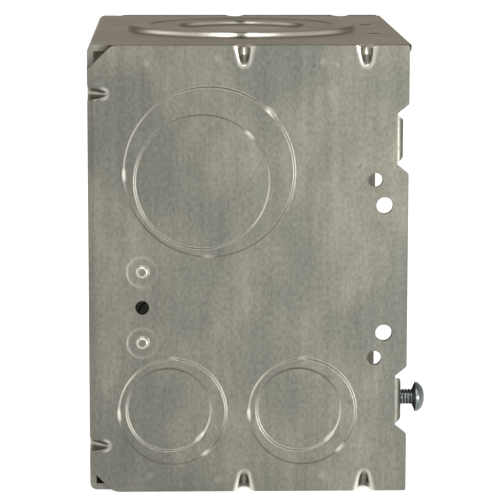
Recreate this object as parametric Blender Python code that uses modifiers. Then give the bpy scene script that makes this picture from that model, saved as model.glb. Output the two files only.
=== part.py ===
"""Square sheet-steel electrical box, open on one side, lying on one of its side walls.

The box is one folded and spot-welded sheet: a back plate and four walls. The top and bottom walls
carry flanges that lie inside the near and far walls. The opening faces +X, the closed back -X, and
the box rests on its bottom wall at Z = 0. Two cover screws stand in the ears at the opening.
Lengths are in metres. The origin is the bottom centre of the whole part, screws included.
"""

import math

import bmesh
import bpy
from mathutils import Matrix, Vector

MM = 0.001

# The folded sheet
SIDE = 115.4 * MM
DEPTH = 82.3 * MM
SHEET = 1.6 * MM
BEND = 1.7 * MM
FLANGE = 11.0 * MM
FLANGE_START = 7.5 * MM
SIDE_SET_BACK = 0.6 * MM
FLANGE_SET_BACK = 1.2 * MM
TRIM_EXTRA = 0.1 * MM
RELIEF = 6.2 * MM
RELIEF_DEPTH = 2.8 * MM
RELIEF_HOLE = 2.9 * MM
RELIEF_HOLE_INSET = 1.7 * MM
SEAM_FLOOR_DEGREES = 20.0

# Knockouts, as hole sizes of the common trade sizes
HALF_INCH = 22.23 * MM / 2
THREE_QUARTER = 28.17 * MM / 2
ONE_INCH = 34.93 * MM / 2
ONE_QUARTER = 44.04 * MM / 2
ONE_HALF = 50.39 * MM / 2
TWO_INCH = 62.71 * MM / 2
SIDE_STEP = 0.6 * MM
TOP_STEP = 1.4 * MM
MIDDLE_STEP = 1.1 * MM
BACK_STEP = 0.6 * MM
STEP_SLOPE = 0.35 * MM
BIG_AT = (DEPTH * 0.3755, SIDE * 0.7215)
BIG_SHIFT = (-1.85 * MM, -2.5 * MM)
SMALL_MIDDLE = (DEPTH * 0.4627, 21.1 * MM)
SMALL_SPREAD = THREE_QUARTER + 2.62 * MM
SMALL_SHIFT = (-0.95 * MM, 0.6 * MM)
TOP_X = DEPTH * 0.492
BACK_SINGLE = (28.0 * MM, 24.0 * MM)

# Small holes and dimples
HOLES_MIDDLE = SIDE * 0.503
HOLE_COLUMN_X = DEPTH - 6.65 * MM
HOLE_COLUMN_SPREAD = 16.5 * MM
HOLE_COLUMN_R = 2.1 * MM
OUTER_HOLE_X = DEPTH - 9.1 * MM
OUTER_HOLE_SPREAD = 23.05 * MM
OUTER_HOLE_R = 1.85 * MM
END_HOLE_R = 1.6 * MM
LEFT_COLUMN_X = 13.7 * MM
LEFT_COLUMN_Z = SIDE * 0.4185
LEFT_PITCH = 9.2 * MM
LEFT_HOLE_R = 1.8 * MM
DIMPLE_R = 1.9 * MM
DIMPLE_TOP_R = 1.15 * MM
DIMPLE_RISE = 0.55 * MM
MOUNT_HOLE_R = 2.6 * MM
MOUNT_HOLE_SPREAD = 38.0 * MM

# Gussets pressed into the side walls at the creases
GUSSET_DEPTH = 2.4 * MM
GUSSET_LENGTH = 5.0 * MM
GUSSET_WIDTH = 2.6 * MM
GUSSET_SKIN = 1.4 * MM
GUSSET_X = (DEPTH * 0.484, DEPTH - 11.4 * MM)
GUSSET_FROM_END = 12.2 * MM

# Ears that carry the cover screws
EAR_SPREAD = 33.9 * MM
EAR_WIDTH = 9.6 * MM
EAR_AXIS_IN = 5.0 * MM
EAR_FACE = DEPTH - 2.0 * MM
EAR_BEND = 2.0 * MM
EAR_ROUNDING = 0.97
NOTCH_ROOT = EAR_FACE - EAR_BEND
NOTCH_LIP = 5.8 * MM
NOTCH_TIP = 6.5 * MM
NOTCH_MOUTH = 8.9 * MM

# Cover screws
SCREW_R = 1.95 * MM
SCREW_GAP = 0.3 * MM
SCREW_LENGTH = 11.0 * MM
SCREW_POINT = 1.0 * MM
HEAD_R = 3.85 * MM
HEAD_RISE = 3.2 * MM
HEAD_RIM = 0.8 * MM
HEAD_NECK = 0.25 * MM
HEAD_STAND_OFF = 1.2 * MM
SLOT_WIDTH = 1.2 * MM
SLOT_DEPTH = 1.3 * MM
SLOT_DEGREES = 35.0

# Boss for an earthing screw in the back plate
GROUND_R = 7.0 * MM
GROUND_STEP = 1.2 * MM
GROUND_HOLE_R = 2.2 * MM
GROUND_LIFT = 34.0 * MM

# Derived places and fineness
HALF = SIDE / 2
BACK_X = -(DEPTH + HEAD_STAND_OFF + HEAD_RISE) / 2
EAR_AXIS = HALF - EAR_AXIS_IN
EAR_HEIGHTS = (HALF - EAR_SPREAD, HALF + EAR_SPREAD)
OVER = 1.0 * MM
PLACES = 7
ROUND = 44
SMALL_ROUND = ROUND - 8
TINY_ROUND = 16
BEND_STEPS = 6
EAR_INNER_STEPS = 3
SCREW_STEPS = 40
DOME_STEPS = 9


def clear_scene():
    for thing in list(bpy.data.objects):
        bpy.data.objects.remove(thing, do_unlink=True)


def collection(name):
    group = bpy.data.collections.new(name)
    bpy.context.scene.collection.children.link(group)
    return group


def material(name, colour, roughness):
    made = bpy.data.materials.new(name)
    made.use_nodes = True
    shader = made.node_tree.nodes["Principled BSDF"]
    shader.inputs["Base Color"].default_value = (*colour, 1.0)
    shader.inputs["Metallic"].default_value = 1.0
    shader.inputs["Roughness"].default_value = roughness
    made.diffuse_color = (*colour, 1.0)
    return made


def at_x(depth):
    """A place along the box's depth, counted from the back plate's outer face."""
    return BACK_X + depth


def arc(centre, radius, start, end, steps):
    points = []
    for i in range(steps + 1):
        angle = math.radians(start + (end - start) * i / steps)
        points.append((centre[0] + radius * math.cos(angle), centre[1] + radius * math.sin(angle)))
    return points


def add_disc(mesh, start, end, radius, end_radius=None, sides=ROUND):
    """Add a closed cylinder, or a frustum, between the centres of its two end faces."""
    start = Vector(start)
    end = Vector(end)
    turn = (end - start).to_track_quat("Z", "Y").to_matrix().to_4x4()
    bmesh.ops.create_cone(
        mesh,
        cap_ends=True,
        segments=sides,
        radius1=radius,
        radius2=radius if end_radius is None else end_radius,
        depth=(end - start).length,
        matrix=Matrix.Translation((start + end) / 2) @ turn,
    )


def add_box(mesh, low, high):
    low = Vector(low)
    high = Vector(high)
    scale = Matrix.Diagonal((*(high - low), 1.0))
    bmesh.ops.create_cube(mesh, size=1.0, matrix=Matrix.Translation((low + high) / 2) @ scale)


def settle(mesh):
    """Round the places of all vertices alike, so that flush faces are exactly flush."""
    for vertex in mesh.verts:
        vertex.co = [round(value, PLACES) for value in vertex.co]


def add_outline(mesh, points, thickness, origin, first, second):
    """Add a flat outline as a filled 2D curve with a thickness, drawn in millimetres and scaled down."""
    curve = bpy.data.curves.new("outline", "CURVE")
    curve.dimensions = "2D"
    curve.fill_mode = "BOTH"
    curve.extrude = thickness / 2 / MM
    spline = curve.splines.new("POLY")
    spline.points.add(len(points) - 1)
    for point, (a, b) in zip(spline.points, points):
        point.co = (a / MM, b / MM, 0.0, 1.0)
    spline.use_cyclic_u = True
    thing = bpy.data.objects.new("outline", curve)
    bpy.context.scene.collection.objects.link(thing)
    first = Vector(first)
    second = Vector(second)
    frame = Matrix((first, second, first.cross(second))).transposed().to_4x4()
    frame = Matrix.Translation(origin) @ frame @ Matrix.Scale(MM, 4)
    thing.matrix_world = frame
    bpy.context.view_layer.update()
    solid = thing.evaluated_get(bpy.context.evaluated_depsgraph_get())
    data = bpy.data.meshes.new_from_object(solid)
    data.transform(frame)
    piece = bmesh.new()
    piece.from_mesh(data)
    bmesh.ops.remove_doubles(piece, verts=piece.verts, dist=OVER / 1000)
    settle(piece)
    piece.to_mesh(data)
    piece.free()
    mesh.from_mesh(data)
    bpy.data.objects.remove(thing, do_unlink=True)
    bpy.data.curves.remove(curve)
    bpy.data.meshes.remove(data)


def outline_along_x(mesh, points, low, high):
    """Points are (Y, Z) pairs, and the solid runs from low to high along X."""
    add_outline(mesh, points, high - low, ((low + high) / 2, 0, 0), (0, 1, 0), (0, 0, 1))


def outline_along_y(mesh, points, low, high):
    """Points are (X, Z) pairs, and the solid runs from low to high along Y."""
    add_outline(mesh, points, high - low, (0, (low + high) / 2, 0), (1, 0, 0), (0, 0, 1))


def outline_along_z(mesh, points, low, high):
    """Points are (X, Y) pairs, and the solid runs from low to high along Z."""
    add_outline(mesh, points, high - low, (0, 0, (low + high) / 2), (1, 0, 0), (0, 1, 0))


def finish(mesh, name, group):
    bmesh.ops.recalc_face_normals(mesh, faces=mesh.faces)
    data = bpy.data.meshes.new(name)
    mesh.to_mesh(data)
    mesh.free()
    thing = bpy.data.objects.new(name, data)
    group.objects.link(thing)
    return thing


def apply_tool(body, mesh, name, cutters, operation, mirrored=False):
    """Keep a tool as a hidden solid and put it to the body. Mirrored, it serves both side walls."""
    tool = finish(mesh, name, cutters)
    tool.hide_render = True
    tool.display_type = "WIRE"
    if mirrored:
        mirror = tool.modifiers.new("far_side", "MIRROR")
        mirror.use_axis = (False, True, False)
        mirror.use_mirror_merge = False
    change = body.modifiers.new(name, "BOOLEAN")
    change.operation = operation
    change.solver = "EXACT"
    change.object = tool


def make_shell(group):
    """An open block given the sheet's thickness inwards, with its outer back edges rounded."""
    mesh = bmesh.new()
    add_box(mesh, (at_x(0), -HALF, 0), (at_x(DEPTH), HALF, SIDE))
    front = [face for face in mesh.faces if face.calc_center_median().x > at_x(DEPTH) - OVER]
    bmesh.ops.delete(mesh, geom=front, context="FACES_ONLY")
    shell = finish(mesh, "box_body", group)
    sheet = shell.modifiers.new("sheet", "SOLIDIFY")
    sheet.thickness = SHEET
    sheet.offset = -1.0
    sheet.use_even_offset = True

    mesh = bmesh.new()
    mesh.from_object(shell, bpy.context.evaluated_depsgraph_get())
    back = [edge for edge in mesh.edges if max(v.co.x for v in edge.verts) < at_x(SHEET / 2)]
    bmesh.ops.bevel(mesh, geom=back, offset=BEND, segments=BEND_STEPS, profile=0.5, affect="EDGES")
    shell.modifiers.clear()
    settle(mesh)
    mesh.to_mesh(shell.data)
    mesh.free()
    return shell


def both_ends(low_z, high_z):
    """A height range counted from the bottom, and the same range counted down from the top."""
    return ((low_z, high_z), (SIDE - high_z, SIDE - low_z))


def add_flanges(body, cutters):
    """The top and bottom walls' side flanges, welded inside the side walls."""
    mesh = bmesh.new()
    for low_z, high_z in both_ends(SHEET / 2, FLANGE):
        low = (at_x(FLANGE_START), -HALF + SHEET / 2, low_z)
        add_box(mesh, low, (at_x(DEPTH - FLANGE_SET_BACK), -HALF + 2 * SHEET, high_z))
    apply_tool(body, mesh, "welded_flanges", cutters, "UNION", True)

    mesh = bmesh.new()
    low = (at_x(DEPTH - SIDE_SET_BACK), -HALF - OVER, -OVER)
    add_box(mesh, low, (at_x(DEPTH) + OVER, -HALF + SHEET + TRIM_EXTRA, SIDE + OVER))
    apply_tool(body, mesh, "side_edge_trims", cutters, "DIFFERENCE", True)


def add_gussets(body, cutters):
    """Short grooves across the creases, with the sheet bulging inside them as ribs."""
    foot = GUSSET_DEPTH * 0.45
    rib = GUSSET_DEPTH + GUSSET_SKIN
    end = GUSSET_LENGTH + GUSSET_SKIN
    groove_side = [(-OVER, -OVER), (GUSSET_DEPTH, -OVER), (GUSSET_DEPTH, 0)]
    groove_side += [(foot, GUSSET_LENGTH * 0.8), (0, GUSSET_LENGTH), (-OVER, GUSSET_LENGTH)]
    rib_side = [(SHEET / 2, SHEET / 2), (rib, SHEET / 2), (rib, SHEET), (foot + GUSSET_SKIN, end * 0.85)]
    rib_side += [(SHEET, end), (SHEET / 2, end)]
    shapes = (
        ("gusset_ribs", rib_side, GUSSET_WIDTH / 2 + GUSSET_SKIN, "UNION"),
        ("gusset_grooves", groove_side, GUSSET_WIDTH / 2, "DIFFERENCE"),
    )
    for name, side, half, operation in shapes:
        mesh = bmesh.new()
        for middle in GUSSET_X:
            low = at_x(middle) - half
            high = at_x(middle) + half
            outline_along_x(mesh, [(a - HALF, b) for a, b in side], low, high)
            outline_along_x(mesh, [(a - HALF, SIDE - b) for a, b in side], low, high)
        for middle in (GUSSET_FROM_END, SIDE - GUSSET_FROM_END):
            points = [(at_x(b), a - HALF) for a, b in side]
            outline_along_z(mesh, points, middle - half, middle + half)
        apply_tool(body, mesh, name, cutters, operation, True)


def add_seams(body, cutters):
    """The groove between each side wall's edge and the bend of the flange that lies behind it."""
    inner = HALF - SHEET
    floor = SIDE - BEND + BEND * math.sin(math.radians(SEAM_FLOOR_DEGREES))
    profile = [(inner, SIDE + OVER), (inner, floor)]
    profile += arc((inner - BEND, SIDE - BEND), BEND, SEAM_FLOOR_DEGREES, 90, BEND_STEPS)
    profile.append((inner - BEND, SIDE + OVER))
    mesh = bmesh.new()
    start = at_x(RELIEF_HOLE)
    outline_along_x(mesh, [(-a, b) for a, b in profile], start, at_x(DEPTH) + OVER)
    outline_along_x(mesh, [(-a, SIDE - b) for a, b in profile], start, at_x(DEPTH) + OVER)
    apply_tool(body, mesh, "seam_grooves", cutters, "DIFFERENCE", True)


def add_reliefs(body, cutters):
    """Cut corners at the back: a chamfer in each side wall and a small open triangle behind it."""
    chamfer = [(-OVER, -OVER), (RELIEF + OVER, -OVER), (-OVER, RELIEF + OVER)]
    inset = RELIEF_HOLE_INSET
    opening = [(inset, inset), (inset + RELIEF_HOLE, inset), (inset, inset + RELIEF_HOLE)]
    shapes = (("corner_chamfers", chamfer, RELIEF_DEPTH), ("corner_openings", opening, FLANGE))
    for name, outline, depth in shapes:
        mesh = bmesh.new()
        outline_along_y(mesh, [(at_x(a), b) for a, b in outline], -HALF - OVER, depth - HALF)
        outline_along_y(mesh, [(at_x(a), SIDE - b) for a, b in outline], -HALF - OVER, depth - HALF)
        apply_tool(body, mesh, name, cutters, "DIFFERENCE", True)


class Press:
    """Moves discs of the sheet outwards or inwards. Levels count outwards from the wall's face."""

    def __init__(self):
        self.bosses = bmesh.new()
        self.sinks = bmesh.new()

    def disc(self, face, outward, radius, before, after, sides):
        face = Vector(face)
        outward = Vector(outward)
        core = before - SHEET / 2
        tip = radius - STEP_SLOPE
        if after > before:
            end = after
            hollow = (before - SHEET - OVER, after - SHEET)
        else:
            end = after - SHEET
            hollow = (before + OVER, after)
        add_disc(self.bosses, face + outward * core, face + outward * end, radius, tip, sides)
        add_disc(self.sinks, face + outward * hollow[0], face + outward * hollow[1], radius, None, sides)

    def put_to(self, body, cutters, name, mirrored=False):
        apply_tool(body, self.bosses, name + "_bosses", cutters, "UNION", mirrored)
        apply_tool(body, self.sinks, name + "_sinks", cutters, "DIFFERENCE", mirrored)


def add_side_knockouts(body, cutters):
    """The outer disc of each pair stands proud, and the inner one is pushed back level."""
    pairs = [(BIG_AT, ONE_QUARTER, BIG_SHIFT, ONE_INCH, ROUND)]
    for sign in (-1, 1):
        middle = (SMALL_MIDDLE[0] + sign * SMALL_SPREAD, SMALL_MIDDLE[1])
        pairs.append((middle, THREE_QUARTER, SMALL_SHIFT, HALF_INCH, SMALL_ROUND))
    outer = Press()
    inner = Press()
    out = (0, -1, 0)
    for middle, outer_r, shift, inner_r, sides in pairs:
        face = Vector((at_x(middle[0]), -HALF, middle[1]))
        outer.disc(face, out, outer_r, 0, SIDE_STEP, sides)
        inner.disc(face + Vector((shift[0], 0, shift[1])), out, inner_r, SIDE_STEP, 0, sides)
    outer.put_to(body, cutters, "side_outer", True)
    inner.put_to(body, cutters, "side_inner", True)


def add_end_knockouts(body, cutters):
    """Top, bottom and back. The bottom's rings go inwards, so that the box stands flat."""
    first = Press()
    second = Press()
    third = Press()
    for height, up in ((SIDE, 1), (0, -1)):
        face = (at_x(TOP_X), 0, height)
        out = (0, 0, up)
        ring = up * TOP_STEP
        next_ring = up * MIDDLE_STEP
        first.disc(face, out, TWO_INCH, 0, ring, ROUND)
        second.disc(face, out, ONE_HALF, ring, next_ring, ROUND)
        third.disc(face, out, ONE_INCH, next_ring, 0, ROUND)
    out = (-1, 0, 0)
    first.disc((BACK_X, 0, HALF), out, THREE_QUARTER, 0, -BACK_STEP, SMALL_ROUND)
    second.disc((BACK_X, 0, HALF), out, HALF_INCH, -BACK_STEP, 0, SMALL_ROUND)
    for side in (-1, 1):
        face = (BACK_X, side * BACK_SINGLE[0], HALF - BACK_SINGLE[1])
        first.disc(face, out, HALF_INCH, 0, -BACK_STEP, SMALL_ROUND)
    first.disc((BACK_X, 0, HALF + GROUND_LIFT), out, GROUND_R, 0, -GROUND_STEP, SMALL_ROUND)
    first.put_to(body, cutters, "end_outer")
    second.put_to(body, cutters, "end_middle")
    third.put_to(body, cutters, "end_inner")


def add_ears(body, cutters):
    """Ears bent in from the side walls between two V notches."""
    windows = bmesh.new()
    tabs = bmesh.new()
    half = EAR_WIDTH / 2
    wing = [(NOTCH_ROOT, NOTCH_LIP), (NOTCH_ROOT, NOTCH_TIP), (DEPTH, NOTCH_MOUTH)]
    wing.append((DEPTH + OVER, NOTCH_MOUTH))
    face = at_x(EAR_FACE)
    tip = half - EAR_AXIS
    bend_x = face - EAR_BEND
    turn = (bend_x, -HALF + EAR_BEND)
    section = [(bend_x - OVER, -HALF)] + arc(turn, EAR_BEND, 270, 360, BEND_STEPS)
    section += [(face, tip), (face - SHEET, tip)]
    section += arc(turn, EAR_BEND - SHEET, 360, 270, EAR_INNER_STEPS)
    section.append((bend_x - OVER, -HALF + SHEET))
    for middle in EAR_HEIGHTS:
        outline = [(at_x(a), middle + b) for a, b in wing]
        outline += [(at_x(a), middle - b) for a, b in reversed(wing)]
        outline_along_y(windows, outline, -HALF - OVER, -HALF + 2 * SHEET + OVER)
        outline_along_z(tabs, section, middle - half, middle + half)
    corners = []
    for edge in tabs.edges:
        first, second = (vertex.co for vertex in edge.verts)
        at_tip = min(first.y, second.y) > tip - OVER / 2
        if at_tip and abs(first.z - second.z) < OVER / 2 and abs(first.x - second.x) > OVER:
            corners.append(edge)
    bmesh.ops.bevel(tabs, geom=corners, offset=half * EAR_ROUNDING, segments=BEND_STEPS, profile=0.5, affect="EDGES")
    apply_tool(body, windows, "ear_windows", cutters, "DIFFERENCE", True)
    apply_tool(body, tabs, "ear_tabs", cutters, "UNION", True)


def add_hole(mesh, face, outward, radius, sides=TINY_ROUND):
    """A hole through the sheet at a place on its outer face."""
    face = Vector(face)
    outward = Vector(outward)
    add_disc(mesh, face + outward * OVER, face - outward * (2 * SHEET + OVER), radius, None, sides)


def add_holes(body, cutters):
    side_holes = bmesh.new()
    end_holes = bmesh.new()
    bumps = bmesh.new()
    for sign in (-1, 1):
        column = (at_x(HOLE_COLUMN_X), -HALF, HOLES_MIDDLE + sign * HOLE_COLUMN_SPREAD)
        outer = (at_x(OUTER_HOLE_X), -HALF, HOLES_MIDDLE + sign * OUTER_HOLE_SPREAD)
        add_hole(side_holes, column, (0, -1, 0), HOLE_COLUMN_R)
        add_hole(side_holes, outer, (0, -1, 0), OUTER_HOLE_R)
        end_y = sign * HOLE_COLUMN_SPREAD
        add_hole(end_holes, (at_x(HOLE_COLUMN_X), end_y, SIDE), (0, 0, 1), END_HOLE_R)
        add_hole(end_holes, (at_x(HOLE_COLUMN_X), end_y, 0), (0, 0, -1), END_HOLE_R)
        for other in (-1, 1):
            mount = (BACK_X, sign * MOUNT_HOLE_SPREAD, HALF + other * MOUNT_HOLE_SPREAD)
            add_hole(end_holes, mount, (-1, 0, 0), MOUNT_HOLE_R)
        dimple = Vector((at_x(LEFT_COLUMN_X), -HALF, LEFT_COLUMN_Z + sign * LEFT_PITCH))
        rise = Vector((0, -DIMPLE_RISE, 0))
        add_disc(bumps, dimple + Vector((0, SHEET / 2, 0)), dimple + rise, DIMPLE_R, DIMPLE_TOP_R, TINY_ROUND)
    add_hole(side_holes, (at_x(LEFT_COLUMN_X), -HALF, LEFT_COLUMN_Z), (0, -1, 0), LEFT_HOLE_R)
    add_hole(end_holes, (BACK_X, 0, HALF + GROUND_LIFT), (-1, 0, 0), GROUND_HOLE_R)
    for middle in EAR_HEIGHTS:
        ear = (at_x(EAR_FACE), -EAR_AXIS, middle)
        add_hole(side_holes, ear, (1, 0, 0), SCREW_R + SCREW_GAP, SMALL_ROUND)
    apply_tool(body, bumps, "dimples", cutters, "UNION", True)
    apply_tool(body, side_holes, "side_holes", cutters, "DIFFERENCE", True)
    apply_tool(body, end_holes, "end_holes", cutters, "DIFFERENCE")


def make_screw(name, group, cutters, side, height):
    """Round-headed machine screw with a straight slot, a profile turned about an axis along X."""
    profile = []
    for along, radius in arc((HEAD_RIM, 0), 1.0, 0, 90, DOME_STEPS):
        rise = (along - HEAD_RIM) * (HEAD_RISE - HEAD_RIM)
        profile.append((HEAD_RIM + rise, HEAD_R * radius))
    profile += [(HEAD_NECK, (HEAD_R + SCREW_R) / 2), (0, SCREW_R)]
    profile += [(SCREW_POINT - SCREW_LENGTH, SCREW_R), (-SCREW_LENGTH, SCREW_R * 0.7), (-SCREW_LENGTH, 0)]
    data = bpy.data.meshes.new(name)
    edges = [(i, i + 1) for i in range(len(profile) - 1)]
    data.from_pydata([(x, r, 0) for x, r in profile], edges, [])
    screw = bpy.data.objects.new(name, data)
    group.objects.link(screw)
    screw.location = (at_x(DEPTH + HEAD_STAND_OFF), side * EAR_AXIS, height)
    turned = screw.modifiers.new("turned", "SCREW")
    turned.axis = "X"
    turned.angle = math.tau
    turned.steps = SCREW_STEPS
    turned.render_steps = SCREW_STEPS
    turned.use_merge_vertices = True
    turned.merge_threshold = OVER / 1000
    turned.use_smooth_shade = False

    mesh = bmesh.new()
    reach = HEAD_R + OVER
    low = (HEAD_RISE - SLOT_DEPTH, -reach, -SLOT_WIDTH / 2)
    add_box(mesh, low, (HEAD_RISE + OVER, reach, SLOT_WIDTH / 2))
    turn = Matrix.Rotation(math.radians(SLOT_DEGREES), 4, "X")
    bmesh.ops.transform(mesh, matrix=Matrix.Translation(screw.location) @ turn, verts=mesh.verts)
    apply_tool(screw, mesh, name + "_slot", cutters, "DIFFERENCE")
    return screw


def main():
    clear_scene()
    parts = collection("square_electrical_box")
    cutters = collection("cutters")
    body = make_shell(parts)
    add_flanges(body, cutters)
    add_gussets(body, cutters)
    add_seams(body, cutters)
    add_reliefs(body, cutters)
    add_side_knockouts(body, cutters)
    add_end_knockouts(body, cutters)
    add_ears(body, cutters)
    add_holes(body, cutters)
    body.data.materials.append(material("galvanised_steel", (0.42, 0.41, 0.38), 0.42))
    zinc = (0.30, 0.33, 0.36)
    low, high = EAR_HEIGHTS
    near = make_screw("cover_screw_near", parts, cutters, -1, low)
    near.data.materials.append(material("zinc_plated_lower_screw", zinc, 0.3))
    far = make_screw("cover_screw_far", parts, cutters, 1, high)
    far.data.materials.append(material("zinc_plated_upper_screw", zinc, 0.3))


main()
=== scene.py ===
"""Looks of a square sheet-steel electrical box: the pressed sheet, its cover screws and a studio.

The box is one flat blank that is folded up by a formula. Lengths in the working arrays are in
millimetres and are turned into metres when a mesh is made.
"""

import math

import bmesh
import bpy
import numpy as np
from mathutils import Matrix, Vector
from mathutils.geometry import delaunay_2d_cdt


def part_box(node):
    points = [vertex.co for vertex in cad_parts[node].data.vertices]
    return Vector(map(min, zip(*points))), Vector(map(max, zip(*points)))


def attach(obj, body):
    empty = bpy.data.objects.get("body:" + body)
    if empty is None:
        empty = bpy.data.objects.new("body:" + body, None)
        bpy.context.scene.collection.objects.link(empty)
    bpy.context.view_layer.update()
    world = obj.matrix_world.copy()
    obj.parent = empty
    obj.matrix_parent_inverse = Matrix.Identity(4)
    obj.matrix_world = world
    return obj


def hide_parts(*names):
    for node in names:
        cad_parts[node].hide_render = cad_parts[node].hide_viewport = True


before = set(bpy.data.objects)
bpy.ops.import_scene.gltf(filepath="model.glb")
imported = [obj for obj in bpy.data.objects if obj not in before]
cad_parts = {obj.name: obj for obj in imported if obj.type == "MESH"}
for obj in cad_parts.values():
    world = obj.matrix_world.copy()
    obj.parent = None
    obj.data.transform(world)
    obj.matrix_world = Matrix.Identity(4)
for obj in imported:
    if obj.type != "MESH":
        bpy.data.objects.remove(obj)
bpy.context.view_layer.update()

bl_info = {
    "name": "Square electrical box",
    "version": (1, 0, 0),
    "blender": (4, 5, 0),
    "location": "View3D > Sidebar > Box",
    "description": "Builds the looks of a folded sheet-steel electrical box and its studio",
    "category": "Object",
}

MM = 1000
METRES = 0.001
TINY = 1e-6
RIGHT_ANGLE = math.pi / 2

BODY_LOW, BODY_HIGH = (np.array(corner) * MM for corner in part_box("box_body"))
BACK_X = float(BODY_LOW[0])
TOP_STEP = 1.4
SIDE = float(BODY_HIGH[2] - BODY_LOW[2] - TOP_STEP)
HALF = SIDE / 2
DEPTH = float(BODY_HIGH[0] - BODY_LOW[0])

# Sizes of the trade knockouts, as radii
HALF_INCH = 22.23 / 2
THREE_QUARTER = 28.17 / 2
ONE_INCH = 34.93 / 2
ONE_QUARTER = 44.04 / 2
ONE_HALF = 50.39 / 2
TWO_INCH = 62.71 / 2

# Knockouts of the side walls, as depth and height from the middle, and of the top and bottom walls
BIG_PAIR = (DEPTH * 0.3755, SIDE * 0.2215)
BIG_INNER_SHIFT = (-1.85, -2.5)
SMALL_PAIRS = (DEPTH * 0.4627, 21.1 - HALF)
SMALL_SPREAD = THREE_QUARTER + 2.62
SMALL_INNER_SHIFT = (-0.95, 0.6)
END_RINGS_DEPTH = DEPTH * 0.492
END_INNER_STEP = 1.1
DISC_BULGE = 0.42

# Column of a hole between two bosses near the back: depth, and height from the middle
LEFT_COLUMN = (13.7, SIDE * 0.4185 - HALF)
BOSS_SPACING = 9.2
BOSS_RISE = 0.55
BOSS_MOAT = 0.07
# Spots where the flanges are welded on: depth, distance from the crease, and radius
WELDS = ((33.6, 3.4, 1.5), (60.2, 4.2, 1.3), (63.8, 4.9, 0.9), (15.5, 4.4, 1.2))
WELD_DENT = 0.05

# Round holes near the front edge, in the plate's corners and for an earthing screw
HOLES_MIDDLE = SIDE * 0.503 - HALF
FRONT_COLUMN = DEPTH - 6.65
FRONT_SPREAD = 16.5
OUTER_COLUMN = DEPTH - 9.1
OUTER_SPREAD = 23.05
PLATE_SPREAD = 38.0
EARTH_LIFT = 34.0

# Depths of the gussets along the walls, and their distance from a corner on the back
GUSSET_DEPTHS = (DEPTH * 0.484, DEPTH - 11.4)
GUSSET_INSET = 12.2
GUSSET_FLANK_LIFT = 0.5

# The top and bottom walls keep this clear of the corners, and turn their flanges from this depth
CORNER_CLEAR = 2.8
FLANGE_FROM = 4.0
FLANGE_FADE = 2.4
FLANGE_FULL = 6.4

# Screws: the shank's length below and inside the head, the head's height and that of its rim
SCREW_LENGTH = 11.0
SHANK_INSIDE = 0.35
HEAD_RISE = 3.2
HEAD_RIM = 0.83


# ---- Property groups


def number(name, description, default, unit="LENGTH"):
    return bpy.props.FloatProperty(name=name, description=description, default=default, unit=unit)


def colour(name, description, default):
    return bpy.props.FloatVectorProperty(
        name=name, description=description, default=default, size=3, subtype="COLOR"
    )


class BoxSizes(bpy.types.PropertyGroup):
    sheet: number("Sheet", "Thickness of the steel sheet", 0.0016)
    bend: number("Bend", "Outer radius of the folds", 0.0017)
    flange: number("Flange", "Height of the welded flanges", 0.011)
    riser: number("Riser", "Width of a knockout's sloping edge", 0.00062)
    side_step: number("Side step", "How far a side knockout stands proud", 0.0006)
    top_step: number("Top step", "How far the top ring stands proud", TOP_STEP / 1000)
    gusset_reach: number("Gusset reach", "How far a gusset runs from its crease", 0.0051)
    gusset_width: number("Gusset width", "Width of a gusset's groove", 0.0022)


class ScrewSizes(bpy.types.PropertyGroup):
    radius: number("Radius", "Radius over the thread", 0.00205)
    pitch: number("Pitch", "Distance between two thread crests", 0.00079)
    thread_depth: number("Thread depth", "Depth of the thread", 0.00024)
    head_radius: number("Head radius", "Radius of the domed head", 0.00385)
    slot_width: number("Slot width", "Width of the driving slot", 0.0012)
    slot_depth: number("Slot depth", "Depth of the driving slot", 0.0013)


class BoxColours(bpy.types.PropertyGroup):
    steel: colour("Steel", "Galvanised steel", (0.139, 0.134, 0.111))
    warm_patch: colour("Warm patch", "Warmer clouds in the zinc", (0.159, 0.153, 0.126))
    dark_patch: colour("Dark patch", "Darker clouds in the zinc", (0.112, 0.112, 0.095))
    # Also the colour of the painted highlights on rings, gussets and discs
    bright_edge_and_highlight: colour("Bright edge", "Burnished and cut edges", (0.56, 0.54, 0.48))
    screw: colour("Screw", "Blue-grey zinc plating", (0.13, 0.148, 0.141))


class StageSettings(bpy.types.PropertyGroup):
    floor: colour("Floor", "Colour of the floor", (0.86, 0.86, 0.86))
    right_light: number("Right light", "Power of the light at the front right", 4.0, "POWER")
    left_light: number("Left light", "Power of the light at the left", 2.5, "POWER")
    top_light: number("Top light", "Power of the light above the front", 3.6, "POWER")
    lens: bpy.props.FloatProperty(
        name="Lens",
        description="Focal length of the camera",
        default=192.41,
        subtype="DISTANCE_CAMERA",
    )


# ---- Flat blank and its fold


class Blank:
    """Sizes of the flat blank in millimetres, from the property group.

    u runs across the box and v up the back plate, both from the plate's middle. The four arms
    follow the plate: near at -u, far at +u, top at +v, bottom at -v.
    """

    def __init__(self, sizes):
        for key in BoxSizes.__annotations__:
            setattr(self, key, getattr(sizes, key) * MM)
        self.end_riser = self.riser * 1.37
        self.gusset_half = self.gusset_width / 2
        self.gusset_flank = 2.9
        self.flat = HALF - self.bend
        self.quarter = self.bend * RIGHT_ANGLE
        self.flange_face = HALF - self.sheet - 0.06
        self.flange_flat = self.flange_face - self.bend
        self.flange_end = self.flange_flat + self.quarter + self.flange - self.bend
        self.side_front = DEPTH - 0.6
        self.ear_bend = 1.8
        self.ear_root = DEPTH - 2.0 - self.ear_bend
        self.ear_axis = self.ear_bend * RIGHT_ANGLE + 5.0 - self.ear_bend
        self.ear_half = 4.75
        self.ear_notch = 6.3
        self.ear_mouth = 8.9
        self.ear_spread = 33.9

    def out(self, depth):
        """Distance from the plate's middle along the blank to a depth on an arm's outer skin."""
        depth = np.asarray(depth, float)
        curved = self.bend * np.arccos(np.clip(1 - depth / self.bend, -1, 1))
        straight = depth - self.bend + self.quarter
        return self.flat + np.where(depth < self.bend, curved, straight)


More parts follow.
